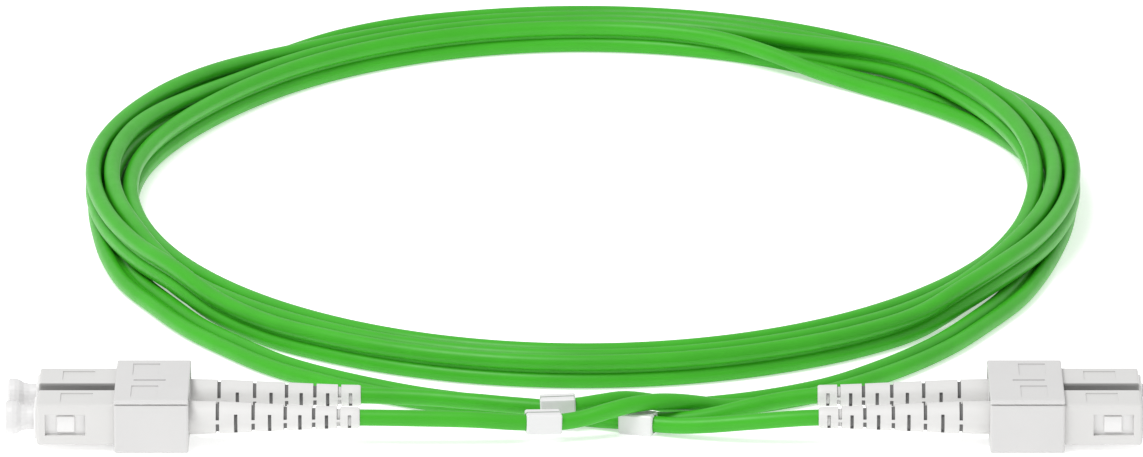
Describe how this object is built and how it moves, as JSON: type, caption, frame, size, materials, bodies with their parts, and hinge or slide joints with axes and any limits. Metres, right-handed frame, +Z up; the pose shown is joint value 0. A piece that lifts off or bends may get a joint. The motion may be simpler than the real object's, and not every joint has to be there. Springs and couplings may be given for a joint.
{
  "type": "fiber optic patch cord",
  "caption": "Coiled duplex fibre optic patch cord with a clipped pair of rectangular push-pull connectors, ribbed boots and dust caps at each end.",
  "frame": {"origin": "on the floor, midway between the two duplex connectors", "axes": "+X along the connectors towards the right end, +Y back over the coil, +Z up"},
  "size_m": [0.2036, 0.2611, 0.0097],
  "materials": {
    "jacket": "satin extruded jacket, lime green",
    "housing": "moulded, slightly glossy white",
    "clip": "moulded, satin light grey",
    "plug_frame": "moulded, slightly glossy white",
    "boot": "soft satin white",
    "cap": "soft translucent white",
    "marker": "satin white",
    "zirconia": "polished zirconia ceramic",
    "nickel": "nickel plated",
    "spring_steel": "bright wire",
    "crimp": "nickel plated",
    "buffer": "satin off-white coating"
  },
  "bodies": {
    "root": {"cord_coil": "jacket", "cord_leg_left_front": "jacket", "cord_leg_left_rear": "jacket", "cord_leg_right_front": "jacket", "cord_leg_right_rear": "jacket", "marker_left_front": "marker", "marker_left_rear": "marker", "marker_right_front": "marker", "left_front_plug_frame": "plug_frame", "left_front_stop_ring": "nickel", "left_front_crimp_sleeve": "crimp", "left_front_boot": "boot", "left_rear_plug_frame": "plug_frame", "left_rear_stop_ring": "nickel", "left_rear_crimp_sleeve": "crimp", "left_rear_boot": "boot", "right_front_plug_frame": "plug_frame", "right_front_stop_ring": "nickel", "right_front_crimp_sleeve": "crimp", "right_front_boot": "boot", "right_rear_plug_frame": "plug_frame", "right_rear_stop_ring": "nickel", "right_rear_crimp_sleeve": "crimp", "right_rear_boot": "boot"},
    "left_grip": {"left_clip_tray": "clip", "left_front_outer_housing": "housing", "left_rear_outer_housing": "housing"},
    "left_cover": {"left_clip_cover": "clip"},
    "left_front_ferrule_unit": {"left_front_ferrule": "zirconia", "left_front_ferrule_flange": "nickel", "left_front_ferrule_spring": "spring_steel", "left_front_fibre_buffer": "buffer"},
    "left_front_cap": {"left_front_dust_cap": "cap"},
    "left_rear_ferrule_unit": {"left_rear_ferrule": "zirconia", "left_rear_ferrule_flange": "nickel", "left_rear_ferrule_spring": "spring_steel", "left_rear_fibre_buffer": "buffer"},
    "left_rear_cap": {"left_rear_dust_cap": "cap"},
    "right_grip": {"right_clip_tray": "clip", "right_front_outer_housing": "housing", "right_rear_outer_housing": "housing"},
    "right_cover": {"right_clip_cover": "clip"},
    "right_front_ferrule_unit": {"right_front_ferrule": "zirconia", "right_front_ferrule_flange": "nickel", "right_front_ferrule_spring": "spring_steel", "right_front_fibre_buffer": "buffer"},
    "right_front_cap": {"right_front_dust_cap": "cap"},
    "right_rear_ferrule_unit": {"right_rear_ferrule": "zirconia", "right_rear_ferrule_flange": "nickel", "right_rear_ferrule_spring": "spring_steel", "right_rear_fibre_buffer": "buffer"},
    "right_rear_cap": {"right_rear_dust_cap": "cap"}
  },
  "joints": [
    {"name": "left_grip_slide", "type": "slide", "parent": "root", "child": "left_grip", "axis": [1, 0, 0], "range_m": [0, 0.0013]},
    {"name": "left_cover_lift", "type": "slide", "parent": "left_grip", "child": "left_cover", "axis": [0, 0, 1], "range_m": [0, 0.012]},
    {"name": "left_front_ferrule_push", "type": "slide", "parent": "root", "child": "left_front_ferrule_unit", "axis": [1, 0, 0], "range_m": [0, 0.001], "stiffness_N_per_m": 800, "deforming": ["left_front_ferrule_spring"]},
    {"name": "left_front_cap_pull", "type": "slide", "parent": "left_front_ferrule_unit", "child": "left_front_cap", "axis": [-1, 0, 0], "range_m": [0, 0.015]},
    {"name": "left_rear_ferrule_push", "type": "slide", "parent": "root", "child": "left_rear_ferrule_unit", "axis": [1, 0, 0], "range_m": [0, 0.001], "stiffness_N_per_m": 800, "deforming": ["left_rear_ferrule_spring"]},
    {"name": "left_rear_cap_pull", "type": "slide", "parent": "left_rear_ferrule_unit", "child": "left_rear_cap", "axis": [-1, 0, 0], "range_m": [0, 0.015]},
    {"name": "right_grip_slide", "type": "slide", "parent": "root", "child": "right_grip", "axis": [-1, 0, 0], "range_m": [0, 0.0013]},
    {"name": "right_cover_lift", "type": "slide", "parent": "right_grip", "child": "right_cover", "axis": [0, 0, 1], "range_m": [0, 0.012]},
    {"name": "right_front_ferrule_push", "type": "slide", "parent": "root", "child": "right_front_ferrule_unit", "axis": [-1, 0, 0], "range_m": [0, 0.001], "stiffness_N_per_m": 800, "deforming": ["right_front_ferrule_spring"]},
    {"name": "right_front_cap_pull", "type": "slide", "parent": "right_front_ferrule_unit", "child": "right_front_cap", "axis": [1, 0, 0], "range_m": [0, 0.015]},
    {"name": "right_rear_ferrule_push", "type": "slide", "parent": "root", "child": "right_rear_ferrule_unit", "axis": [-1, 0, 0], "range_m": [0, 0.001], "stiffness_N_per_m": 800, "deforming": ["right_rear_ferrule_spring"]},
    {"name": "right_rear_cap_pull", "type": "slide", "parent": "right_rear_ferrule_unit", "child": "right_rear_cap", "axis": [1, 0, 0], "range_m": [0, 0.015]}
  ]
}
